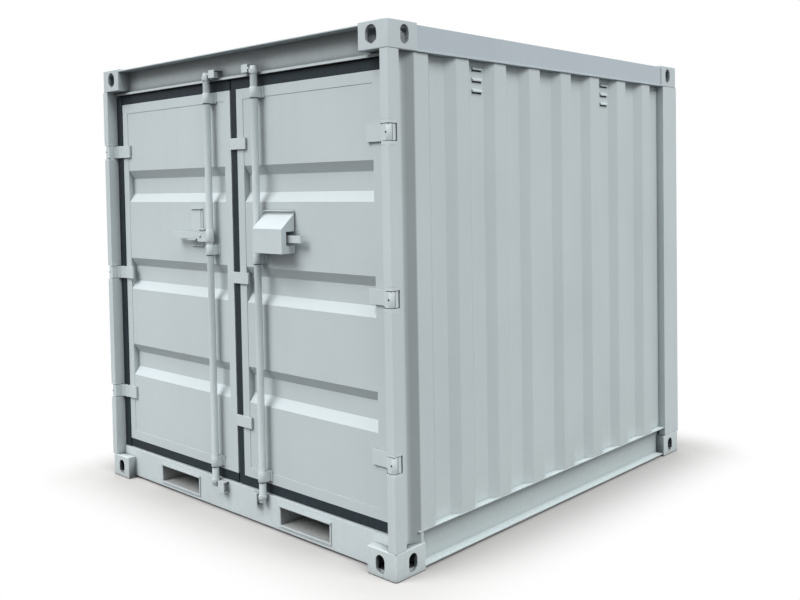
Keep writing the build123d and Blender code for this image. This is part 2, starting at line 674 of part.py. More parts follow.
# Doors
def door_rectangle(y_low, y_high, z_low, z_high, mode=Mode.ADD):
    """Rectangle on a plane that faces along X, between two heights and two places across."""
    with Locations(((y_low + y_high) / 2, (z_low + z_high) / 2)):
        Rectangle(y_high - y_low, z_high - z_low, mode=mode)


groove_edges = []
for number in range(3):
    centre = DOOR_MIDDLE + (1 - number) * GROOVE_PITCH
    groove_edges.append((centre + GROOVE_MOUTH / 2, 0.0))
    groove_edges.append((centre + GROOVE_FLAT / 2, GROOVE_DEPTH))
    groove_edges.append((centre - GROOVE_FLAT / 2, GROOVE_DEPTH))
    groove_edges.append((centre - GROOVE_MOUTH / 2, 0.0))

seal_middle = DOOR_LEFT_EDGE - MEETING_CLEARANCE
door_spans = {
    "left": (DOOR_LEFT_EDGE, WIDTH / 2 - DOOR_EDGE),
    "right": (DOOR_EDGE - WIDTH / 2, DOOR_RIGHT_EDGE),
}
gasket_spans = {
    "left": (DOOR_LEFT_EDGE, WIDTH / 2 - JAMB - SWING_CLEARANCE),
    "right": (JAMB + SWING_CLEARANCE - WIDTH / 2, seal_middle),
}
lip_bands = (
    (DOOR_EDGE, JAMB + SWING_CLEARANCE, GASKET_LIP_RISE + GASKET_SET),
    (JAMB + SWING_CLEARANCE, POST_FLANGE_WIDTH + GASKET_LIP_GAP, GASKET_LIP_THICKNESS),
)
for hand, (low, high) in door_spans.items():
    with BuildPart() as door_frame:
        with BuildSketch(Plane.YZ.offset(DOOR_X + DOOR_FACE_DEPTH)):
            door_rectangle(low, high, DOOR_BOTTOM, DOOR_TOP)
            door_rectangle(low + DOOR_FRAME, high - DOOR_FRAME, DOOR_BOTTOM + DOOR_FRAME,
                           DOOR_TOP - DOOR_FRAME, mode=Mode.SUBTRACT)
        extrude(amount=DOOR_THICKNESS)
    finish(door_frame, f"door_frame_{hand}")

    panel_front = DOOR_X + DOOR_FACE_DEPTH + PANEL_SET
    top_point = (panel_front, DOOR_TOP - DOOR_FRAME)
    foot_point = (panel_front, DOOR_BOTTOM + DOOR_FRAME)
    front_line = [top_point] + [(panel_front + d, z) for z, d in groove_edges] + [foot_point]
    back_line = [(x + PANEL_SHEET, z) for x, z in reversed(front_line)]
    with BuildPart() as door_panel:
        with BuildSketch(Plane.XZ.offset(-(high - DOOR_FRAME))):
            with BuildLine():
                Polyline(*front_line, *back_line, front_line[0])
            make_face()
        extrude(amount=high - low - 2 * DOOR_FRAME)
    finish(door_panel, f"door_panel_{hand}")

    outward = 1 if hand == "left" else -1
    seal_low, seal_high = gasket_spans[hand]
    seal_bottom = SILL_TOP + SWING_CLEARANCE
    seal_top = HEADER_BOTTOM - SWING_CLEARANCE
    with BuildPart() as gasket:
        with BuildSketch(Plane.YZ.offset(DOOR_X + DOOR_FACE_DEPTH + GASKET_SET)):
            door_rectangle(seal_low, seal_high, seal_bottom, seal_top)
            door_rectangle(low, high, DOOR_BOTTOM, DOOR_TOP, mode=Mode.SUBTRACT)
        extrude(amount=GASKET_THICKNESS)
        for inner_edge, outer_edge, thickness in lip_bands:
            inner_y = outward * (WIDTH / 2 - inner_edge)
            outer_y = outward * (WIDTH / 2 - outer_edge)
            with BuildSketch(Plane.YZ.offset(DOOR_X + DOOR_FACE_DEPTH - GASKET_LIP_RISE)):
                door_rectangle(min(inner_y, outer_y), max(inner_y, outer_y), seal_bottom, seal_top)
            extrude(amount=thickness)
    finish(gasket, f"door_gasket_{hand}")

# Hinges: lugs with their pins on the posts, blades on the doors
pin_x = DOOR_X + PIN_DEPTH
pin_y = RIGHT_Y + PIN_SIDE
with BuildPart() as lugs:
    for height in HINGE_HEIGHTS:
        lug_height = (NOTCH_HEIGHT - BLADE_HEIGHT) / 2 - KNUCKLE_GAP
        for base in (height - NOTCH_HEIGHT / 2, height + NOTCH_HEIGHT / 2 - lug_height):
            with BuildSketch(Plane.XY.offset(base)):
                with Locations((DOOR_X + NOTCH_DEPTH / 2, RIGHT_Y + POST_FLANGE_WIDTH / 2)):
                    Rectangle(NOTCH_DEPTH, POST_FLANGE_WIDTH)
            extrude(amount=lug_height)
        with BuildSketch(Plane.XY.offset(height - NOTCH_HEIGHT / 2)):
            with Locations((pin_x, pin_y)):
                Circle(PIN_RADIUS)
        extrude(amount=NOTCH_HEIGHT)
    mirror(about=Plane.XZ)
finish(lugs, "hinge_lugs")

plate_back = DOOR_X + DOOR_FACE_DEPTH
plate_front = plate_back - BLADE_THICKNESS
bridge_back = plate_back - BLADE_BRIDGE
bridge_front = plate_front - BLADE_BRIDGE
strap_front = pin_x - KNUCKLE_RADIUS
flange_edge = RIGHT_Y + POST_FLANGE_WIDTH
crank_x = DOOR_X + CRANK_DEPTH
with BuildPart() as blades:
    for height in HINGE_HEIGHTS:
        with BuildSketch(Plane.XY.offset(height - BLADE_HEIGHT / 2)):
            with BuildLine():
                Polyline(
                    (pin_x, pin_y),
                    (strap_front, pin_y),
                    (strap_front, pin_y + STRAP_FLAT),
                    (strap_front + STRAP_EDGE_SET, flange_edge),
                    (crank_x, flange_edge),
                    (bridge_front, RIGHT_Y + BLADE_BRIDGE_START),
                    (bridge_front, RIGHT_Y + DOOR_EDGE - BLADE_BRIDGE),
                    (plate_front, RIGHT_Y + DOOR_EDGE),
                    (plate_front, RIGHT_Y + BLADE_END),
                    (plate_back, RIGHT_Y + BLADE_END),
                    (plate_back, RIGHT_Y + DOOR_EDGE),
                    (bridge_back, RIGHT_Y + DOOR_EDGE),
                    (bridge_back, RIGHT_Y + BLADE_BRIDGE_START),
                    (crank_x + BLADE_THICKNESS, flange_edge),
                    (pin_x + KNUCKLE_RADIUS, pin_y),
                    close=True,
                )
            make_face()
            with Locations((pin_x, pin_y)):
                Circle(KNUCKLE_RADIUS)
                Circle(PIN_RADIUS + PIN_CLEARANCE, mode=Mode.SUBTRACT)
        extrude(amount=BLADE_HEIGHT)
finish_pair(blades, "hinge_blades")

# Tabs across the meeting edge, carried by the right-hand door
with BuildPart() as tabs:
    with BuildSketch(Plane.YZ.offset(DOOR_X + DOOR_FACE_DEPTH - TAB_THICKNESS)):
        for height in (HINGE_FOOT, HINGE_HEIGHTS[1] + TAB_MIDDLE_RAISE, HINGE_HEAD):
            door_rectangle(seal_middle - TAB_LENGTH, seal_middle, height - TAB_HEIGHT / 2,
                           height + TAB_HEIGHT / 2)
    extrude(amount=TAB_THICKNESS)
finish(tabs, "meeting_tabs")

# Lock bars with their guides, cams, hubs and handles
bar_x = DOOR_X + BAR_DEPTH
middle_guides = {
    "left": HANDLE_LEVEL - GUIDE_BELOW_HANDLE,
    "right": BOX_BOTTOM - BOX_GUIDE_GAP - GUIDE_HEIGHT / 2,
}
for hand, bar_y, outward in (("left", BAR_LEFT, 1), ("right", BAR_RIGHT, -1)):
    with BuildPart() as bar:
        with BuildSketch(Plane.XY.offset(BAR_BOTTOM)):
            with Locations((bar_x, bar_y)):
                Circle(BAR_RADIUS)
        extrude(amount=BAR_TOP - BAR_BOTTOM)
        for base in (BAR_BOTTOM + CAM_INSET, BAR_TOP - CAM_INSET - CAM_THICKNESS):
            with BuildSketch(Plane.XY.offset(base)):
                with Locations((bar_x, bar_y)):
                    Circle(CAM_RADIUS)
                with Locations((bar_x - CAM_NOSE + CAM_NOSE_RADIUS, bar_y)):
                    Circle(CAM_NOSE_RADIUS)
                make_hull()
            extrude(amount=CAM_THICKNESS)
        cheek_offset = HANDLE_THICKNESS / 2 + HANDLE_CLEARANCE + HUB_CHEEK / 2
        with BuildSketch(Plane.XY.offset(HANDLE_LEVEL - HUB_HEIGHT / 2)):
            with Locations((bar_x, bar_y)):
                Circle(BAR_RADIUS + HUB_COLLAR)
            for side in (-1, 1):
                with Locations((bar_x + side * cheek_offset, bar_y + outward * HUB_LENGTH / 2)):
                    Rectangle(HUB_CHEEK, HUB_LENGTH)
        extrude(amount=HUB_HEIGHT)
        with BuildSketch(Plane.YZ.offset(bar_x - cheek_offset)):
            with Locations((bar_y + outward * HUB_PIVOT, HANDLE_LEVEL)):
                Circle(HUB_PIVOT_RADIUS)
        extrude(amount=2 * cheek_offset)
    finish(bar, f"lock_bar_{hand}")

    pivot_y = bar_y + outward * HUB_PIVOT
    tip_y = bar_y + outward * HANDLE_LENGTH
    with BuildPart() as handle:
        with BuildSketch(Plane.YZ.offset(bar_x - HANDLE_THICKNESS / 2)):
            door_rectangle(min(pivot_y, tip_y), max(pivot_y, tip_y),
                           HANDLE_LEVEL - HANDLE_WIDTH / 2, HANDLE_LEVEL + HANDLE_WIDTH / 2)
            with Locations((pivot_y, HANDLE_LEVEL)):
                Circle(HANDLE_WIDTH / 2)
                Circle(HUB_PIVOT_RADIUS + HANDLE_CLEARANCE, mode=Mode.SUBTRACT)
        extrude(amount=HANDLE_THICKNESS)
    finish(handle, f"lock_handle_{hand}")

    with BuildPart() as guides:
        for height in (DOOR_BOTTOM + GUIDE_FOOT_INSET, middle_guides[hand], DOOR_TOP - GUIDE_HEAD_INSET):
            on_frame = height < DOOR_BOTTOM + DOOR_FRAME or height > DOOR_TOP - DOOR_FRAME
            seat = DOOR_X + DOOR_FACE_DEPTH + (0 if on_frame else PANEL_SET)
            with BuildSketch(Plane.XY.offset(height - GUIDE_HEIGHT / 2)):
                with Locations((bar_x, bar_y)):
                    Circle(GUIDE_RADIUS)
                with Locations(((bar_x + seat) / 2, bar_y)):
                    Rectangle(seat - bar_x, 2 * GUIDE_RADIUS)
                with Locations((seat - GUIDE_FOOT / 2, bar_y)):
                    Rectangle(GUIDE_FOOT, 2 * GUIDE_BASE)
                with Locations((bar_x, bar_y)):
                    Circle(BAR_RADIUS + GUIDE_CLEARANCE, mode=Mode.SUBTRACT)
            extrude(amount=GUIDE_HEIGHT)
    finish(guides, f"bar_guides_{hand}")

# Keepers beside each cam: a block with a tongue on the header, a bent strap on the sill
keeper_bottom = HEADER_BOTTOM + HEADER_LIP_HEIGHT
tongue_top = BAR_TOP - KEEPER_TONGUE_DROP
strap_x = DOOR_X + SILL_FACE_DEPTH
strap_bottom = SILL_TOP - KEEPER_STRAP_HEIGHT
with BuildPart() as keepers:
    for bar_y, inward in ((BAR_LEFT, -1), (BAR_RIGHT, 1)):
        near_y = bar_y + inward * KEEPER_NEAR
        far_y = bar_y + inward * KEEPER_FAR
        tip_y = bar_y + inward * KEEPER_TONGUE
        with BuildSketch(Plane.YZ.offset(DOOR_X + HEADER_WEB_DEPTH)):
            door_rectangle(min(near_y, far_y), max(near_y, far_y), keeper_bottom, keeper_bottom + KEEPER_HEIGHT)
        extrude(amount=-KEEPER_PROJECTION)
        with BuildSketch(Plane.XY.offset(tongue_top - KEEPER_TONGUE_THICKNESS)):
            with Locations((bar_x, (near_y + tip_y) / 2)):
                Rectangle(KEEPER_TONGUE_WIDTH, KEEPER_NEAR - KEEPER_TONGUE)
        extrude(amount=KEEPER_TONGUE_THICKNESS)
        with BuildSketch(Plane.XZ.offset(-max(near_y, far_y))):
            with BuildLine():
                Polyline(
                    (strap_x, SILL_TOP),
                    (strap_x - KEEPER_STRAP_PROJECTION, SILL_TOP),
                    (strap_x - KEEPER_STRAP_PROJECTION, strap_bottom),
                    (strap_x, strap_bottom),
                    (strap_x, strap_bottom + KEEPER_STRAP),
                    (strap_x - KEEPER_STRAP_PROJECTION + KEEPER_STRAP, strap_bottom + KEEPER_STRAP),
                    (strap_x - KEEPER_STRAP_PROJECTION + KEEPER_STRAP, SILL_TOP - KEEPER_STRAP),
                    (strap_x, SILL_TOP - KEEPER_STRAP),
                    close=True,
                )
            make_face()
        extrude(amount=KEEPER_FAR - KEEPER_NEAR)
finish(keepers, "cam_keepers")

# Catch that the left-hand handle rests on, with its plate on the door panel
catch_near = BAR_LEFT + CATCH_NEAR
catch_far = BAR_LEFT + CATCH_FAR
catch_back = DOOR_X + DOOR_FACE_DEPTH + PANEL_SET
shelf_top = HANDLE_LEVEL - HANDLE_WIDTH / 2 - HANDLE_CLEARANCE
with BuildPart() as catch_plate:
    with BuildSketch(Plane.YZ.offset(catch_back)):
        door_rectangle(catch_near - CATCH_PLATE_MARGIN, catch_far + CATCH_PLATE_MARGIN,
                       shelf_top - CATCH_SHELF - CATCH_PLATE_DROP,
                       shelf_top - CATCH_SHELF - CATCH_PLATE_DROP + CATCH_PLATE_HEIGHT)
    extrude(amount=-CATCH_PLATE)
finish(catch_plate, "catch_plate")

with BuildPart() as catch:
    with BuildSketch(Plane.YZ.offset(catch_back - CATCH_PLATE)):
        door_rectangle(catch_near, catch_far, shelf_top - CATCH_SHELF, shelf_top)
    extrude(amount=CATCH_PLATE - CATCH_REACH)
finish(catch, "handle_catch")

# Lock box around the right-hand hub, open below and at the back
box_near = BAR_RIGHT - BOX_NEAR
box_far = box_near - BOX_WIDTH
with BuildPart() as lock_box:
    with BuildSketch(Plane.XZ.offset(-box_near)):
        with BuildLine():
            Polyline(
                (DOOR_X + BOX_FRONT_DEPTH, BOX_BOTTOM),
                (DOOR_X + BOX_FRONT_DEPTH, BOX_SHOULDER),
                (DOOR_X + BOX_BACK_DEPTH, BOX_TOP),
                (DOOR_X + BOX_BACK_DEPTH, BOX_BOTTOM),
                close=True,
            )
        make_face()
    extrude(amount=BOX_WIDTH)
    with BuildSketch(Plane.XZ.offset(-box_near + BOX_SHEET)):
        with BuildLine():
            Polyline(
                (DOOR_X + BOX_FRONT_DEPTH + BOX_SHEET, BOX_BOTTOM),
                (DOOR_X + BOX_FRONT_DEPTH + BOX_SHEET, BOX_SHOULDER - BOX_SHEET),
                (DOOR_X + BOX_BACK_DEPTH, BOX_TOP - BOX_SHEET),
                (DOOR_X + BOX_BACK_DEPTH, BOX_BOTTOM),
                close=True,
            )
        make_face()
    extrude(amount=BOX_WIDTH - 2 * BOX_SHEET, mode=Mode.SUBTRACT)
    with BuildSketch(Plane.XZ.offset(-box_near)):
        with BuildLine():
            Polyline(
                (DOOR_X + BOX_SLOT_DEPTH, BOX_SLOT_BOTTOM),
                (DOOR_X + BOX_SLOT_DEPTH, BOX_SLOT_TOP),
                (DOOR_X + BOX_BACK_DEPTH, BOX_SLOT_TOP),
                (DOOR_X + BOX_BACK_DEPTH, BOX_SLOT_BOTTOM),
                close=True,
            )
        make_face()
    extrude(amount=BOX_WIDTH, mode=Mode.SUBTRACT)
finish(lock_box, "lock_box")
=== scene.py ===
"""Looks of the steel storage container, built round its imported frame."""
import json
import math

import bmesh
import bpy
from mathutils import Matrix, Vector


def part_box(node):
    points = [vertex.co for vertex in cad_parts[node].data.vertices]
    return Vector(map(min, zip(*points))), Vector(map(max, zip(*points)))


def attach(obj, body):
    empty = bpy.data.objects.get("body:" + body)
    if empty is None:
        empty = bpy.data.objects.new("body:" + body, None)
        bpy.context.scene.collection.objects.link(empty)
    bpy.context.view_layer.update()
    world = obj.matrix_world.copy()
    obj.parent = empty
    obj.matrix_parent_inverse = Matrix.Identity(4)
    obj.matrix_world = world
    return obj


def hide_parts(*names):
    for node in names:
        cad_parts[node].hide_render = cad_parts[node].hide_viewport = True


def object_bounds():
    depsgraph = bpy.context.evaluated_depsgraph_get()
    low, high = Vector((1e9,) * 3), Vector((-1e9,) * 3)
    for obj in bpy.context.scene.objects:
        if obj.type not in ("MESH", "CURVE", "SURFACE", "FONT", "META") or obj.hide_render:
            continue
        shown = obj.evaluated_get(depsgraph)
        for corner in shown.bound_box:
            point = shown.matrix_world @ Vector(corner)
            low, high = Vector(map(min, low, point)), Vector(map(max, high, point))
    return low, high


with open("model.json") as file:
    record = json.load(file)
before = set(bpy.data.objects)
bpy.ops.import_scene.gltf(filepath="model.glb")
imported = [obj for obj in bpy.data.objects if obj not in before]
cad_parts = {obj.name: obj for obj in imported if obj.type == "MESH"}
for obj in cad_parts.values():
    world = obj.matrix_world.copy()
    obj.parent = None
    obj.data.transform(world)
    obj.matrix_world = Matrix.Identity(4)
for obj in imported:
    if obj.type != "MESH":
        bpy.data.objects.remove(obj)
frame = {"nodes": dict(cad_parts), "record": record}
cad_low, cad_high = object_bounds()
nodes = frame["nodes"]

# Colours, as linear red, green and blue
DOOR_PAINT = (0.500, 0.560, 0.575)
WALL_PAINT = (0.480, 0.538, 0.548)
FRAME_PAINT = (0.495, 0.553, 0.570)
CASTING_PAINT = (0.490, 0.545, 0.560)
FITTING_PAINT = (0.520, 0.578, 0.595)
UNDER_PAINT = (0.300, 0.325, 0.335)
SEAL_BLACK = (0.013, 0.020, 0.025)
PLYWOOD = (0.330, 0.205, 0.110)
DUST = (0.400, 0.385, 0.350)
SKY_COLOUR = (0.97, 0.985, 1.0)
FLOOR_COLOUR = (0.45, 0.443, 0.435)
BOUNCE_COLOUR = (0.05, 0.05, 0.05)

# How strongly each kind of sheet waves, and how rough the fittings and castings are
FRAME_WAVES = 0.05
WALL_WAVES = 0.12
DOOR_WAVES = 0.14
FITTING_ROUGHNESS = 0.38
CASTING_ROUGHNESS = 0.5

# Paint. Levels are the two values of a noise, angle or height between which an effect comes in, most is
# how far it covers at its end, and tone is what it does to the colour. Lengths are in metres.
BROAD_LEVELS, BROAD_LIGHT, BROAD_DARK = (0.35, 0.68), 1.015, 0.965
RUN_LEVELS, RUN_MOST, RUN_TONE = (0.52, 0.74), 0.07, 0.72
# Painted light on upward faces comes in between these heights of the normal
UPWARD_LEVELS = (0.80, 0.97)
DUST_LEVELS, DUST_SPECKS = (0.55, 0.0), (0.36, 0.66)
# Painted shade in corners and recesses
CORNER_SHADE_SAMPLES = 8
# A dark band of painted shadow in the walls' folds beside the corner posts
SHADOW_BAND_START, SHADOW_BAND_END, SHADOW_BAND_MOST, SHADOW_BAND_TONE = 0.004, 0.012, 0.62, 0.35
# Painted highlight along edges, broken into specks
EDGE_HIGHLIGHT_SAMPLES, EDGE_HIGHLIGHT_RADIUS, EDGE_HIGHLIGHT_LEVELS, EDGE_HIGHLIGHT_TONE = 4, 0.004, (0.97, 0.80), 1.35
EDGE_HIGHLIGHT_SPECKS, EDGE_HIGHLIGHT_LEAST = (0.40, 0.62), 0.25
GLOSS_LEVELS, GLOSS_BELOW, GLOSS_ABOVE = (0.3, 0.7), 0.05, 0.09
PAINT_SPECULAR = 0.45
PEEL_STRENGTH, PEEL_HEIGHT = 0.10, 0.0006
WAVE_HEIGHT = 0.02

# Camera, in metres and degrees, with its lens in pixels of the 800 x 600 picture
IMAGE_WIDTH = 800
IMAGE_HEIGHT = 600
CAMERA_PLACE = (-3.822, -3.604, 1.595)
CAMERA_YAW = 43.26
CAMERA_PITCH = -2.11
CAMERA_ROLL = -0.98
CAMERA_FOCUS = 914.5
CAMERA_CENTRE_ROW = 220.0
SENSOR = 36.0

# The two colour inputs of a Mix node
MIX_SOCKETS = (6, 7)


# Helpers for materials
def link(tree, start, socket, end, target):
    """Join one node's output to another node's input."""
    tree.links.new(start.outputs[socket], end.inputs[target])


def new_node(tree, kind, **values):
    """A node of that kind, with its named settings."""
    made = tree.nodes.new(kind)
    for key, value in values.items():
        setattr(made, key, value)
    return made


def start_material(name):
    """A new material with its tree, its shader and the object's own coordinates."""
    material = bpy.data.materials.new(name)
    material.use_nodes = True
    tree = material.node_tree
    return material, tree, tree.nodes["Principled BSDF"], new_node(tree, "ShaderNodeTexCoord")


def noise(tree, coordinates, scale, detail, stretch=(1, 1, 1)):
    """Noise over the object's own coordinates, stretched along the axes."""
    mapping = new_node(tree, "ShaderNodeMapping")
    mapping.inputs["Scale"].default_value = stretch
    link(tree, coordinates, "Object", mapping, "Vector")
    made = new_node(tree, "ShaderNodeTexNoise")
    made.inputs["Scale"].default_value = scale
    made.inputs["Detail"].default_value = detail
    link(tree, mapping, "Vector", made, "Vector")
    return made


def ramp(tree, source, socket, levels, start=0.0, end=1.0):
    """Map a value between two levels to a range, held at both ends."""
    made = new_node(tree, "ShaderNodeMapRange", clamp=True)
    made.inputs["From Min"].default_value = levels[0]
    made.inputs["From Max"].default_value = levels[1]
    made.inputs["To Min"].default_value = start
    made.inputs["To Max"].default_value = end
    link(tree, source, socket, made, "Value")
    return made


def product(tree, first, second):
    """The product of two ramps."""
    made = new_node(tree, "ShaderNodeMath", operation="MULTIPLY")
    link(tree, first, "Result", made, 0)
    link(tree, second, "Result", made, 1)
    return made


def mix_colour(tree, factor, factor_socket, first, second):
    """Mix two colours; each is a tuple or a (node, socket) pair."""
    made = new_node(tree, "ShaderNodeMix", data_type="RGBA", blend_type="MIX")
    link(tree, factor, factor_socket, made, "Factor")
    for slot, value in zip(MIX_SOCKETS, (first, second)):
        if isinstance(value[0], bpy.types.Node):
            tree.links.new(value[0].outputs[value[1]], made.inputs[slot])
        else:
            made.inputs[slot].default_value = (*value, 1.0)
    return made


def bump_from(tree, height, strength, distance):
    """A bump whose height is a noise."""
    made = new_node(tree, "ShaderNodeBump")
    made.inputs["Strength"].default_value = strength
    made.inputs["Distance"].default_value = distance
    link(tree, height, "Fac", made, "Height")
    return made


def scaled(colour, factor):
    """A colour made darker or lighter."""
    return tuple(min(1.0, channel * factor) for channel in colour)


def tinted(colour, red, green, blue):
    """A colour with each of its channels scaled."""
    return colour[0] * red, colour[1] * green, colour[2] * blue


# Materials
def paint(name, colour, gloss=0.45, waviness=0.0, dust=0.18, edge_highlight=0.5, upward_light_most=0.30, upward_light_tone=0.60,
          reach=0.045, open_level=0.80, closed_level=0.20, corner_shade_most=0.55, corner_shade_tone=0.35, shadow_band=None):
    """Sprayed paint on steel: uneven tone, faint runs, dust low down and orange peel.

    gloss is the middle of its roughness, and waviness the strength of a sheet's slow waves. dust is the most
    that dust low down covers. upward_light_most is the most that painted light on upward faces covers, and
    upward_light_tone scales the colour there: below 1 it is painted shade, above 1 a painted highlight.
    corner_shade_most is the most that painted shade in corners and recesses covers, and corner_shade_tone
    scales the colour there; it starts where the openness within reach falls below open_level, and is at its
    most at closed_level. edge_highlight is the most that a painted highlight along edges covers. shadow_band
    gives the distances from the middle between which the walls' end folds, beside the corner posts, get a
    dark band of painted shadow.
    """
    material, tree, shader, coordinates = start_material(name)
    broad = noise(tree, coordinates, scale=1.7, detail=4)
    runs = noise(tree, coordinates, scale=3.0, detail=5, stretch=(6, 6, 0.35))
    fine = noise(tree, coordinates, scale=55, detail=4)
    tone = mix_colour(tree, ramp(tree, broad, "Fac", BROAD_LEVELS), "Result",
                      scaled(colour, BROAD_LIGHT), scaled(colour, BROAD_DARK))
    tone = mix_colour(tree, ramp(tree, runs, "Fac", RUN_LEVELS, 0.0, RUN_MOST), "Result",
                      (tone, "Result"), scaled(colour, RUN_TONE))
    # Painted light on faces that point up: a darker colour for painted shade, or a lighter one for a painted
    # highlight
    facing = new_node(tree, "ShaderNodeNewGeometry")
    heading = new_node(tree, "ShaderNodeSeparateXYZ")
    link(tree, facing, "Normal", heading, "Vector")
    tone = mix_colour(tree, ramp(tree, heading, "Z", UPWARD_LEVELS, 0.0, upward_light_most), "Result",
                      (tone, "Result"), scaled(colour, upward_light_tone))
    # Dust that lies thicker towards the ground
    split = new_node(tree, "ShaderNodeSeparateXYZ")
    link(tree, coordinates, "Object", split, "Vector")
    patch = product(tree, ramp(tree, split, "Z", DUST_LEVELS, 0.0, dust),
                    ramp(tree, fine, "Fac", DUST_SPECKS))
    tone = mix_colour(tree, patch, "Value", (tone, "Result"), DUST)
    # Painted shade in the corners and recesses where sheets and bars meet, darkest where least is open round
    # a point
    corner = new_node(tree, "ShaderNodeAmbientOcclusion", samples=CORNER_SHADE_SAMPLES, only_local=False)
    corner.inputs["Distance"].default_value = reach
    corner_shade = ramp(tree, corner, "AO", (open_level, closed_level), 0.0, corner_shade_most)
    tone = mix_colour(tree, corner_shade, "Result", (tone, "Result"), scaled(colour, corner_shade_tone))
    # A dark band of painted shadow in the walls' folds beside the corner posts, at both ends
    if shadow_band:
        inner, outer = shadow_band
        distance = new_node(tree, "ShaderNodeMath", operation="ABSOLUTE")
        link(tree, split, "X", distance, 0)
        begins = ramp(tree, distance, "Value", (inner - SHADOW_BAND_START, inner + SHADOW_BAND_START))
        ends = ramp(tree, distance, "Value", (outer + SHADOW_BAND_END, outer - SHADOW_BAND_END), 0.0, SHADOW_BAND_MOST)
        tone = mix_colour(tree, product(tree, begins, ends), "Value",
                          (tone, "Result"), scaled(colour, SHADOW_BAND_TONE))
    # Painted highlight along the edges, broken into specks
    if edge_highlight:
        rounded = new_node(tree, "ShaderNodeBevel", samples=EDGE_HIGHLIGHT_SAMPLES)
        rounded.inputs["Radius"].default_value = EDGE_HIGHLIGHT_RADIUS
        plain = new_node(tree, "ShaderNodeNewGeometry")
        turn = new_node(tree, "ShaderNodeVectorMath", operation="DOT_PRODUCT")
        link(tree, rounded, "Normal", turn, 0)
        link(tree, plain, "Normal", turn, 1)
        edge_highlight_mask = product(tree, ramp(tree, turn, "Value", EDGE_HIGHLIGHT_LEVELS, 0.0, edge_highlight),
                          ramp(tree, fine, "Fac", EDGE_HIGHLIGHT_SPECKS, EDGE_HIGHLIGHT_LEAST, 1.0))
        tone = mix_colour(tree, edge_highlight_mask, "Value", (tone, "Result"), scaled(colour, EDGE_HIGHLIGHT_TONE))
    link(tree, tone, "Result", shader, "Base Color")
    link(tree, ramp(tree, fine, "Fac", GLOSS_LEVELS, gloss - GLOSS_BELOW, gloss + GLOSS_ABOVE), "Result",
         shader, "Roughness")
    shader.inputs["Specular IOR Level"].default_value = PAINT_SPECULAR
    # Orange peel, over the slow waves of a thin sheet
    peel = bump_from(tree, noise(tree, coordinates, scale=260, detail=2), PEEL_STRENGTH, PEEL_HEIGHT)
    if waviness:
        sheet = bump_from(tree, noise(tree, coordinates, scale=2.6, detail=2), waviness, WAVE_HEIGHT)
        link(tree, sheet, "Normal", peel, "Normal")
    link(tree, peel, "Normal", shader, "Normal")
    return material


def rubber(name, colour):
    """Extruded rubber: nearly black, with a dusty bloom and a fine grain."""
    material, tree, shader, coordinates = start_material(name)
    bloom = noise(tree, coordinates, scale=24, detail=5)
    tone = mix_colour(tree, ramp(tree, bloom, "Fac", (0.45, 0.75), 0.0, 0.5), "Result",
                      colour, scaled(colour, 2.3))
    link(tree, tone, "Result", shader, "Base Color")
    link(tree, ramp(tree, bloom, "Fac", (0.3, 0.7), 0.6, 0.8), "Result", shader, "Roughness")
    shader.inputs["Specular IOR Level"].default_value = 0.22
    grain = bump_from(tree, noise(tree, coordinates, scale=300, detail=3), strength=0.2, distance=0.001)
    link(tree, grain, "Normal", shader, "Normal")
    return material


def plywood(name, colour):
    """Worn plywood, with its grain along the container and dusty scuffs."""
    material, tree, shader, coordinates = start_material(name)
    grain = noise(tree, coordinates, scale=9, detail=8, stretch=(0.5, 9, 9))
    scuffs = noise(tree, coordinates, scale=6, detail=6)
    tone = mix_colour(tree, ramp(tree, grain, "Fac", (0.3, 0.7)), "Result",
                      scaled(colour, 0.7), scaled(colour, 1.2))
    tone = mix_colour(tree, ramp(tree, scuffs, "Fac", (0.5, 0.75), 0.0, 0.4), "Result",
                      (tone, "Result"), DUST)
    link(tree, tone, "Result", shader, "Base Color")
    shader.inputs["Roughness"].default_value = 0.72
    link(tree, bump_from(tree, grain, strength=0.3, distance=0.001), "Normal", shader, "Normal")
    return material


# What each slot of the record is painted or made of
MATERIALS = {
    "paint_frame": paint("frame paint", FRAME_PAINT, waviness=FRAME_WAVES),
    "paint_wall": paint("wall paint", WALL_PAINT, waviness=WALL_WAVES),
    "paint_door": paint("door paint", DOOR_PAINT, waviness=DOOR_WAVES),
    "paint_casting": paint("casting paint", CASTING_PAINT, gloss=CASTING_ROUGHNESS, dust=0.25, edge_highlight=0.7),
    "paint_fittings": paint("fitting paint", FITTING_PAINT, gloss=FITTING_ROUGHNESS),
    "paint_under": paint("underside paint", UNDER_PAINT, gloss=0.6, dust=0.6),
    "gasket_rubber": rubber("seal rubber", SEAL_BLACK),
    "floor_wood": plywood("floor plywood", PLYWOOD),
}

# Places whose paint is dustier, has more painted shade or a painted highlight, or is a little lighter or
# darker than the rest
# The roof, the header's flange and the top rails get painted shade on their upward faces
roof_paint = paint("roof paint", scaled(WALL_PAINT, 0.92), waviness=WALL_WAVES, upward_light_most=0.92)
top_edge_paint = paint("top edge paint", FRAME_PAINT, waviness=FRAME_WAVES, upward_light_most=0.92)
top_rail_paint = paint("top rail paint", tinted(FRAME_PAINT, 0.84, 0.86, 0.90), upward_light_most=0.80)
# The bottom rails' upward faces get a painted highlight
bottom_rail_paint = paint("bottom rail paint", tinted(FRAME_PAINT, 0.84, 0.86, 0.85), dust=0.25,
                          upward_light_most=1.0, upward_light_tone=1.5)
# The header's web gets deep painted shade under its flange
header_paint = paint("header paint", FRAME_PAINT, waviness=FRAME_WAVES, edge_highlight=0.0, reach=0.12,
                     open_level=0.94, closed_level=0.72, corner_shade_most=1.0)
sill_paint = paint("sill paint", scaled(FRAME_PAINT, 1.11), waviness=FRAME_WAVES)
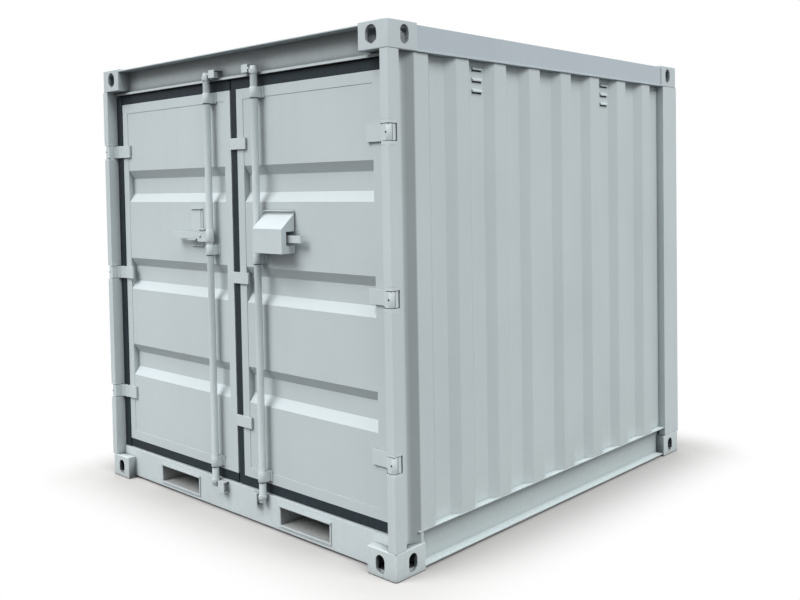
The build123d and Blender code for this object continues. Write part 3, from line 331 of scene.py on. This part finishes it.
# The side walls get a band of painted shadow beside the corner posts
side_wall_paint = paint("side wall paint", WALL_PAINT, waviness=WALL_WAVES, shadow_band=(1.055, 1.098))
right_door_paint = paint("right door paint", scaled(DOOR_PAINT, 0.96), waviness=DOOR_WAVES)
# The keepers get painted shade inside their folds
keeper_paint = paint("keeper paint", FITTING_PAINT, gloss=FITTING_ROUGHNESS, reach=0.06,
                     open_level=0.80, closed_level=0.45, corner_shade_most=0.95)
# The castings get painted shade in their holes, deepest in the lower ones, and a painted highlight along
# their edges; the upper ones also get painted shade on their tops
top_casting_paint = paint("top casting paint", tinted(CASTING_PAINT, 0.96, 0.96, 0.97),
                          gloss=CASTING_ROUGHNESS, edge_highlight=0.7, upward_light_most=0.85, reach=0.15,
                          open_level=0.55, closed_level=0.36, corner_shade_most=0.80, corner_shade_tone=0.30)
bottom_casting_paint = paint("bottom casting paint", tinted(CASTING_PAINT, 1.07, 1.07, 1.06),
                             gloss=CASTING_ROUGHNESS, edge_highlight=0.9, dust=0.12, upward_light_most=0.0, reach=0.15,
                             open_level=0.55, closed_level=0.36, corner_shade_most=1.0, corner_shade_tone=0.09)
NODE_MATERIALS = {
    "side_wall_left": side_wall_paint,
    "side_wall_right": side_wall_paint,
    "roof": roof_paint,
    "roof_margins": roof_paint,
    "header_flange": top_edge_paint,
    "top_corner_castings": top_casting_paint,
    "bottom_corner_castings": bottom_casting_paint,
    "top_rail_left": top_rail_paint,
    "top_rail_right": top_rail_paint,
    "rear_top_rail": top_rail_paint,
    "bottom_rail_left": bottom_rail_paint,
    "bottom_rail_right": bottom_rail_paint,
    "door_header": header_paint,
    "door_sill": sill_paint,
    "door_frame_right": right_door_paint,
    "door_panel_right": right_door_paint,
}

# The CAD pieces keep their shape, and get softened edges and their finishes. The handles get no bevel,
# which would leave dark slivers on their long thin faces.
EDGE_ANGLE = math.radians(35)
CAD_EDGE, PIECE_EDGE = 0.0012, 0.0008
WELD_DISTANCE = 0.00002
SHARP_NODES = ("lock_handle_left", "lock_handle_right")


def soften_edges(made, width):
    """A bevel along an object's sharp edges."""
    soften = made.modifiers.new("soft edges", "BEVEL")
    soften.width = width
    soften.segments = 2
    soften.limit_method = "ANGLE"
    soften.angle_limit = EDGE_ANGLE
    return soften


for part in frame["record"]["subparts"]:
    node = nodes[part["node"]]
    node.data.materials.clear()
    node.data.materials.append(NODE_MATERIALS.get(part["node"], MATERIALS[part["material_slot"]]))
    node.modifiers.new("weld", "WELD").merge_threshold = WELD_DISTANCE
    if part["node"] not in SHARP_NODES:
        soften_edges(node, CAD_EDGE).harden_normals = True


# Helpers for the small pieces that the CAD leaves to this script. All sizes are in metres.
DOOR_END = -1.219
SIDE = 1.1
SIDES = {"left": 1, "right": -1}
BAR_DEPTH = 0.025
BAR_RADIUS = 0.017
BAR_PLACES = {"left": 0.153, "right": -0.220}
HANDLE_LEVEL = 1.368


def depth(value):
    """The X of a point that far behind the door end."""
    return DOOR_END + value


def circle(centre, radius, steps):
    """The corners of a regular outline round a point."""
    turns = [2 * math.pi * i / steps for i in range(steps)]
    return [(centre[0] + radius * math.cos(turn), centre[1] + radius * math.sin(turn)) for turn in turns]


def join_loops(mesh, first, second):
    """Faces between two closed loops of as many points."""
    count = len(first)
    for i in range(count):
        j = (i + 1) % count
        mesh.faces.new((first[i], first[j], second[j], second[i]))


def add_prism(mesh, outline, axis, start, end):
    """A prism that runs along one axis; its closed outline gives the other two, in order."""
    def place(point, level):
        values = list(point)
        values.insert(axis, level)
        return mesh.verts.new(values)

    low = [place(point, start) for point in outline]
    high = [place(point, end) for point in outline]
    mesh.faces.new(low)
    mesh.faces.new(high)
    join_loops(mesh, low, high)


def add_block(mesh, x_ends, y_ends, z_ends):
    """A block between three pairs of limits."""
    (x1, x2), (y1, y2) = sorted(x_ends), sorted(y_ends)
    add_prism(mesh, [(x1, y1), (x2, y1), (x2, y2), (x1, y2)], 2, *sorted(z_ends))


def add_ring(mesh, centre, inner, outer, low, high, steps=32):
    """A flat ring round an upright bar."""
    loops = []
    for radius, height in ((inner, low), (outer, low), (outer, high), (inner, high)):
        loops.append([mesh.verts.new((x, y, height)) for x, y in circle(centre, radius, steps)])
    for first, second in zip(loops, loops[1:] + loops[:1]):
        join_loops(mesh, first, second)


def make_piece(name, mesh, body, slot, soft=PIECE_EDGE, stands_for=None, material=None):
    """A finished piece: soft edges, its slot's material, and the body that carries it."""
    bmesh.ops.recalc_face_normals(mesh, faces=mesh.faces)
    data = bpy.data.meshes.new(name)
    mesh.to_mesh(data)
    mesh.free()
    data.materials.append(material or MATERIALS[slot])
    piece = bpy.data.objects.new(name, data)
    bpy.context.scene.collection.objects.link(piece)
    if soft:
        soften_edges(piece, soft)
    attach(piece, body)
    if stands_for:
        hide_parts(stands_for)


# Rims round the fork pockets, deepest over their tops
POCKET_LOW, POCKET_HIGH = 0.325, 0.661
POCKET_FOOT, POCKET_HEAD = 0.040, 0.126
SILL_FACE = 0.046
RIM, RIM_BACK = 0.008, SILL_FACE + 0.0005
RIM_HEAD_FRONT, RIM_FOOT_FRONT, RIM_SIDE_FRONT = 0.036, 0.040, 0.041
for side, sign in SIDES.items():
    mesh = bmesh.new()
    near, far = sign * POCKET_LOW, sign * POCKET_HIGH
    across = (near - sign * RIM, far + sign * RIM)
    add_block(mesh, (depth(RIM_HEAD_FRONT), depth(RIM_BACK)), across, (POCKET_HEAD, POCKET_HEAD + RIM))
    add_block(mesh, (depth(RIM_FOOT_FRONT), depth(RIM_BACK)), across, (POCKET_FOOT - RIM, POCKET_FOOT))
    for start in (near - sign * RIM, far):
        add_block(mesh, (depth(RIM_SIDE_FRONT), depth(RIM_BACK)), (start, start + sign * RIM),
                  (POCKET_FOOT, POCKET_HEAD))
    make_piece(f"pocket_rim_{side}", mesh, "container", "paint_frame")

# Plates that close the walls' feet beside the door-end castings, folded as the walls are
WALL_FOOT, WALL_FOOT_HEAD = 0.1185, 0.1685
WALL_VALLEY, WALL_CREST, WALL_SHEET = 0.040, 0.008, 0.004
WALL_FOLD = ((0.067, WALL_VALLEY), (0.119, WALL_VALLEY), (0.164, WALL_CREST), (0.177, WALL_CREST))
for side, sign in SIDES.items():
    mesh = bmesh.new()
    outer = [(depth(x), sign * (SIDE - inset)) for x, inset in WALL_FOLD]
    inner = [(depth(x), sign * (SIDE - inset - WALL_SHEET)) for x, inset in WALL_FOLD]
    add_prism(mesh, outer + inner[::-1], 2, WALL_FOOT, WALL_FOOT_HEAD)
    make_piece(f"wall_foot_{side}", mesh, "container", "paint_wall", soft=0.0, material=side_wall_paint)

# The blades' welded ends behind the pins, and the dark plugs on their straps
HINGE_HEIGHTS = (0.475, 1.143, 1.811)
BLADE_HALF = 0.033
BLADE_DEPTHS, BLADE_INSETS = (0.026, 0.043), (0.0015, 0.0115)
PLUG_DEPTHS, PLUG_INSET = (0.0003, 0.0015), 0.016
PLUG_RADIUS, PLUG_STEPS, PLUG_EDGE = 0.0045, 16, 0.0003
for side, sign in SIDES.items():
    mesh = bmesh.new()
    for height in HINGE_HEIGHTS:
        add_block(mesh, [depth(value) for value in BLADE_DEPTHS],
                  [sign * (SIDE - inset) for inset in BLADE_INSETS],
                  (height - BLADE_HALF, height + BLADE_HALF))
    make_piece(f"blade_ends_{side}", mesh, f"door_{side}", "paint_fittings")
    mesh = bmesh.new()
    for height in HINGE_HEIGHTS:
        outline = circle((sign * (SIDE - PLUG_INSET), height), PLUG_RADIUS, PLUG_STEPS)
        add_prism(mesh, outline, 0, *[depth(value) for value in PLUG_DEPTHS])
    make_piece(f"blade_plugs_{side}", mesh, f"door_{side}", "gasket_rubber", soft=PLUG_EDGE)

# Black rings under the bars' guides: painted shade that stands for the shadow gap under each guide
GUIDE_HEIGHTS = {"left": (0.250, 1.299, 2.040), "right": (0.250, 1.272, 2.040)}
GUIDE_HALF = 0.025
SHADE_RING_CLEARANCE, SHADE_RING_RADIUS, SHADE_RING_EDGE = 0.0004, 0.0198, 0.0005
SHADE_RING_FOOT, SHADE_RING_HEAD = 0.0032, 0.0002
for side in SIDES:
    mesh = bmesh.new()
    for height in GUIDE_HEIGHTS[side]:
        guide_foot = height - GUIDE_HALF
        add_ring(mesh, (depth(BAR_DEPTH), BAR_PLACES[side]), BAR_RADIUS + SHADE_RING_CLEARANCE, SHADE_RING_RADIUS,
                 guide_foot - SHADE_RING_FOOT, guide_foot - SHADE_RING_HEAD)
    make_piece(f"guide_shade_rings_{side}", mesh, f"door_{side}", "gasket_rubber", soft=SHADE_RING_EDGE)

# Ledge over the left-hand hub, and the bolt of its pivot with its washer
HUB_TOP = HANDLE_LEVEL + 0.030
HUB_PIVOT = 0.068
LEDGE_DEPTHS, LEDGE_THICKNESS = (0.006, 0.044), 0.005
LEDGE_START, LEDGE_END = BAR_RADIUS + 0.0035, 0.074
BOLT_BACK, BOLT_STEPS, BOLT_EDGE = 0.0135, 6, 0.0004
BOLT_ROUNDS = ((0.011, 0.0105), (0.007, 0.0075))
left_bar = BAR_PLACES["left"]
mesh = bmesh.new()
add_block(mesh, [depth(value) for value in LEDGE_DEPTHS], (left_bar + LEDGE_START, left_bar + LEDGE_END),
          (HUB_TOP, HUB_TOP + LEDGE_THICKNESS))
make_piece("hub_ledge", mesh, "lock_bar_left", "paint_fittings")
mesh = bmesh.new()
for radius, front in BOLT_ROUNDS:
    outline = circle((left_bar + HUB_PIVOT, HANDLE_LEVEL), radius, BOLT_STEPS)
    add_prism(mesh, outline, 0, depth(front), depth(BOLT_BACK))
make_piece("hub_bolt_left", mesh, "lock_bar_left", "paint_fittings", soft=BOLT_EDGE)

# Back plate of the handle's catch, with a lip over it, one under it and a bead up its face
PLATE_RISE, PLATE_OVERLAP = 0.040, 0.001
LIP, LIP_THICKNESS = 0.007, 0.004
BEAD, BEAD_START, BEAD_FOOT = 0.003, 0.014, HANDLE_LEVEL + 0.022
mesh = bmesh.new()
plate_low, plate_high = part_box("catch_plate")
plate_top = plate_high[2] + PLATE_RISE
face, overlap = plate_low[0], plate_low[0] + PLATE_OVERLAP
across = (plate_low[1], plate_high[1])
bead_start = plate_low[1] + BEAD_START
add_block(mesh, (face, plate_high[0]), across, (plate_low[2], plate_top))
for level in (plate_low[2], plate_top - LIP_THICKNESS):
    add_block(mesh, (face - LIP, overlap), across, (level, level + LIP_THICKNESS))
add_block(mesh, (face - BEAD, overlap), (bead_start, bead_start + BEAD),
          (BEAD_FOOT, plate_top - LIP_THICKNESS))
make_piece("catch_back_plate", mesh, "door_left", "paint_fittings", stands_for="catch_plate")

# Flange along the lid of the lock box, and its lip: front, foot and head of each
FLANGE_ACROSS, FLANGE_BACK = (-0.242, -0.450), 0.056
FLANGE_PARTS = ((0.051, 1.476, 1.494), (0.042, 1.4905, 1.4945))
mesh = bmesh.new()
for front, foot, head in FLANGE_PARTS:
    add_block(mesh, (depth(front), depth(FLANGE_BACK)), FLANGE_ACROSS, (foot, head))
make_piece("lock_box_flange", mesh, "lock_bar_right", "paint_fittings")

# Black plates under the vents' hoods: painted shade that stands for the dark openings
VENT_PLACES, VENT_HALF = (-0.6085, 0.4675), 0.032
VENT_HEIGHTS = (2.104, 2.055, 2.006)
VENT_FOOT, VENT_HEAD, VENT_EDGE = 0.006, 0.0003, 0.0003
VENT_INSETS = (WALL_VALLEY + 0.001, WALL_VALLEY - 0.0015)
for side, sign in SIDES.items():
    mesh = bmesh.new()
    for place in VENT_PLACES:
        for height in VENT_HEIGHTS:
            add_block(mesh, (place - VENT_HALF, place + VENT_HALF),
                      [sign * (SIDE - inset) for inset in VENT_INSETS],
                      (height - VENT_FOOT, height - VENT_HEAD))
    make_piece(f"vent_shade_plates_{side}", mesh, "container", "gasket_rubber", soft=VENT_EDGE)

# Keepers: folded straps, open at both sides, with a tongue in each of the upper ones. A strap is given by
# the depths of its front and of the web it sits on, and by its foot and head.
HEADER_WEB = 0.066
KEEPER_SHEET = 0.005
KEEPER_START, KEEPER_END, TONGUE_END = 0.033, 0.078, 0.0225
KEEPER_STRAPS = ((0.014, HEADER_WEB, 2.134, 2.172), (0.013, SILL_FACE, 0.106, 0.160))
TONGUE_DEPTHS, TONGUE_HEIGHTS = (0.014, 0.036), (2.149, 2.159)
mesh = bmesh.new()
for side, inward in (("left", -1), ("right", 1)):
    near, far, tip = (BAR_PLACES[side] + inward * value for value in (KEEPER_START, KEEPER_END, TONGUE_END))
    for front_depth, web_depth, foot, head in KEEPER_STRAPS:
        front, web = depth(front_depth), depth(web_depth)
        strap = [(web, head), (front, head), (front, foot), (web, foot), (web, foot + KEEPER_SHEET),
                 (front + KEEPER_SHEET, foot + KEEPER_SHEET), (front + KEEPER_SHEET, head - KEEPER_SHEET),
                 (web, head - KEEPER_SHEET)]
        add_prism(mesh, strap, 1, near, far)
    add_block(mesh, [depth(value) for value in TONGUE_DEPTHS], (near, tip), TONGUE_HEIGHTS)
make_piece("folded_keepers", mesh, "container", "paint_fittings", stands_for="cam_keepers",
           material=keeper_paint)


# Floor, pale and plain, which keeps the shadow beside the container and is white further out
FLOOR_HALF = 30.0
FLOOR_DROP = 0.0005
FLOOR_FADE = 0.46


def direct_rays(tree):
    """1 for rays from the camera, and for those that gloss or glass sends on."""
    path = new_node(tree, "ShaderNodeLightPath")
    first = new_node(tree, "ShaderNodeMath", operation="MAXIMUM")
    link(tree, path, "Is Camera Ray", first, 0)
    link(tree, path, "Is Glossy Ray", first, 1)
    both = new_node(tree, "ShaderNodeMath", operation="MAXIMUM")
    link(tree, first, "Value", both, 0)
    link(tree, path, "Is Transmission Ray", both, 1)
    return both


def mix_shader(tree, factor, factor_socket, first, second):
    """A shader that goes from the first to the second."""
    made = new_node(tree, "ShaderNodeMixShader")
    link(tree, factor, factor_socket, made, 0)
    link(tree, first, 0, made, 1)
    link(tree, second, 0, made, 2)
    return made


def matt(tree, colour):
    """A matt shader of one colour."""
    made = new_node(tree, "ShaderNodeBsdfDiffuse")
    made.inputs["Color"].default_value = (*colour, 1)
    return made


def floor_material():
    """Pale beside the container and white further out where it is seen, and dark for the light it bounces."""
    material = bpy.data.materials.new("floor")
    material.use_nodes = True
    tree = material.node_tree
    tree.nodes.remove(tree.nodes["Principled BSDF"])
    white = new_node(tree, "ShaderNodeEmission")
    white.inputs["Strength"].default_value = 1.0
    # Distance outside the container's footprint
    coordinates = new_node(tree, "ShaderNodeTexCoord")
    positive = new_node(tree, "ShaderNodeVectorMath", operation="ABSOLUTE")
    link(tree, coordinates, "Object", positive, 0)
    outside = new_node(tree, "ShaderNodeVectorMath", operation="SUBTRACT")
    outside.inputs[1].default_value = (cad_high[0], cad_high[1], 1.0)
    link(tree, positive, "Vector", outside, 0)
    beyond = new_node(tree, "ShaderNodeVectorMath", operation="MAXIMUM")
    link(tree, outside, "Vector", beyond, 0)
    distance = new_node(tree, "ShaderNodeVectorMath", operation="LENGTH")
    link(tree, beyond, "Vector", distance, 0)
    fade = ramp(tree, distance, "Value", (0.0, FLOOR_FADE))
    fade.interpolation_type = "SMOOTHSTEP"
    shown = mix_shader(tree, fade, "Result", matt(tree, FLOOR_COLOUR), white)
    lit = mix_shader(tree, direct_rays(tree), "Value", matt(tree, BOUNCE_COLOUR), shown)
    link(tree, lit, 0, tree.nodes["Material Output"], "Surface")
    return material


floor_mesh = bpy.data.meshes.new("floor")
corners = [(-FLOOR_HALF, -FLOOR_HALF, 0), (FLOOR_HALF, -FLOOR_HALF, 0),
           (FLOOR_HALF, FLOOR_HALF, 0), (-FLOOR_HALF, FLOOR_HALF, 0)]
floor_mesh.from_pydata(corners, [], [(0, 1, 2, 3)])
floor = bpy.data.objects.new("floor", floor_mesh)
floor.location.z = -FLOOR_DROP
floor_mesh.materials.append(floor_material())
bpy.context.scene.collection.objects.link(floor)


# World and lamps
def build_world(light_level):
    """A white background for what is seen, and a plain level of sky light."""
    world = bpy.data.worlds.new("studio")
    bpy.context.scene.world = world
    world.use_nodes = True
    tree = world.node_tree
    light = tree.nodes["Background"]
    light.inputs["Color"].default_value = (*SKY_COLOUR, 1)
    light.inputs["Strength"].default_value = light_level
    white = new_node(tree, "ShaderNodeBackground")
    white.inputs["Color"].default_value = (1, 1, 1, 1)
    white.inputs["Strength"].default_value = 1.0
    seen = mix_shader(tree, direct_rays(tree), "Value", light, white)
    link(tree, seen, 0, tree.nodes["World Output"], "Surface")


def soft_sun(name, azimuth, elevation, strength, spread):
    """A far, wide light; azimuth is turned from +X towards +Y, and spread is its width in degrees."""
    lamp = bpy.data.lights.new(name, "SUN")
    lamp.energy = strength
    lamp.angle = math.radians(spread)
    holder = bpy.data.objects.new(name, lamp)
    bpy.context.scene.collection.objects.link(holder)
    turn, rise = math.radians(azimuth), math.radians(elevation)
    towards = Vector((math.cos(turn) * math.cos(rise), math.sin(turn) * math.cos(rise), math.sin(rise)))
    holder.rotation_euler = towards.to_track_quat("Z", "Y").to_euler()


build_world(light_level=0.62)
soft_sun("light before the doors", azimuth=159, elevation=48, strength=2.96, spread=38)
soft_sun("light beside the wall", azimuth=-90, elevation=48, strength=2.58, spread=38)
soft_sun("light behind", azimuth=45, elevation=45, strength=0.90, spread=60)


# Camera
def place_camera():
    """The camera of the photograph, in the container's own frame."""
    yaw, pitch, roll = (math.radians(angle) for angle in (CAMERA_YAW, CAMERA_PITCH, CAMERA_ROLL))
    forward = Vector((math.cos(yaw) * math.cos(pitch), math.sin(yaw) * math.cos(pitch), math.sin(pitch)))
    right = Vector((math.sin(yaw), -math.cos(yaw), 0))
    up = right.cross(forward)
    turned_right = right * math.cos(roll) + up * math.sin(roll)
    turned_up = up * math.cos(roll) - right * math.sin(roll)
    camera_data = bpy.data.cameras.new("camera")
    camera_data.sensor_width = SENSOR
    camera_data.lens = CAMERA_FOCUS * SENSOR / IMAGE_WIDTH
    camera_data.shift_y = -(IMAGE_HEIGHT / 2 - CAMERA_CENTRE_ROW) / IMAGE_WIDTH
    camera = bpy.data.objects.new("camera", camera_data)
    bpy.context.scene.collection.objects.link(camera)
    camera.matrix_world = Matrix((
        (turned_right.x, turned_up.x, -forward.x, CAMERA_PLACE[0]),
        (turned_right.y, turned_up.y, -forward.y, CAMERA_PLACE[1]),
        (turned_right.z, turned_up.z, -forward.z, CAMERA_PLACE[2]),
        (0, 0, 0, 1),
    ))
    bpy.context.scene.camera = camera


place_camera()
bpy.context.scene.view_settings.view_transform = "Standard"
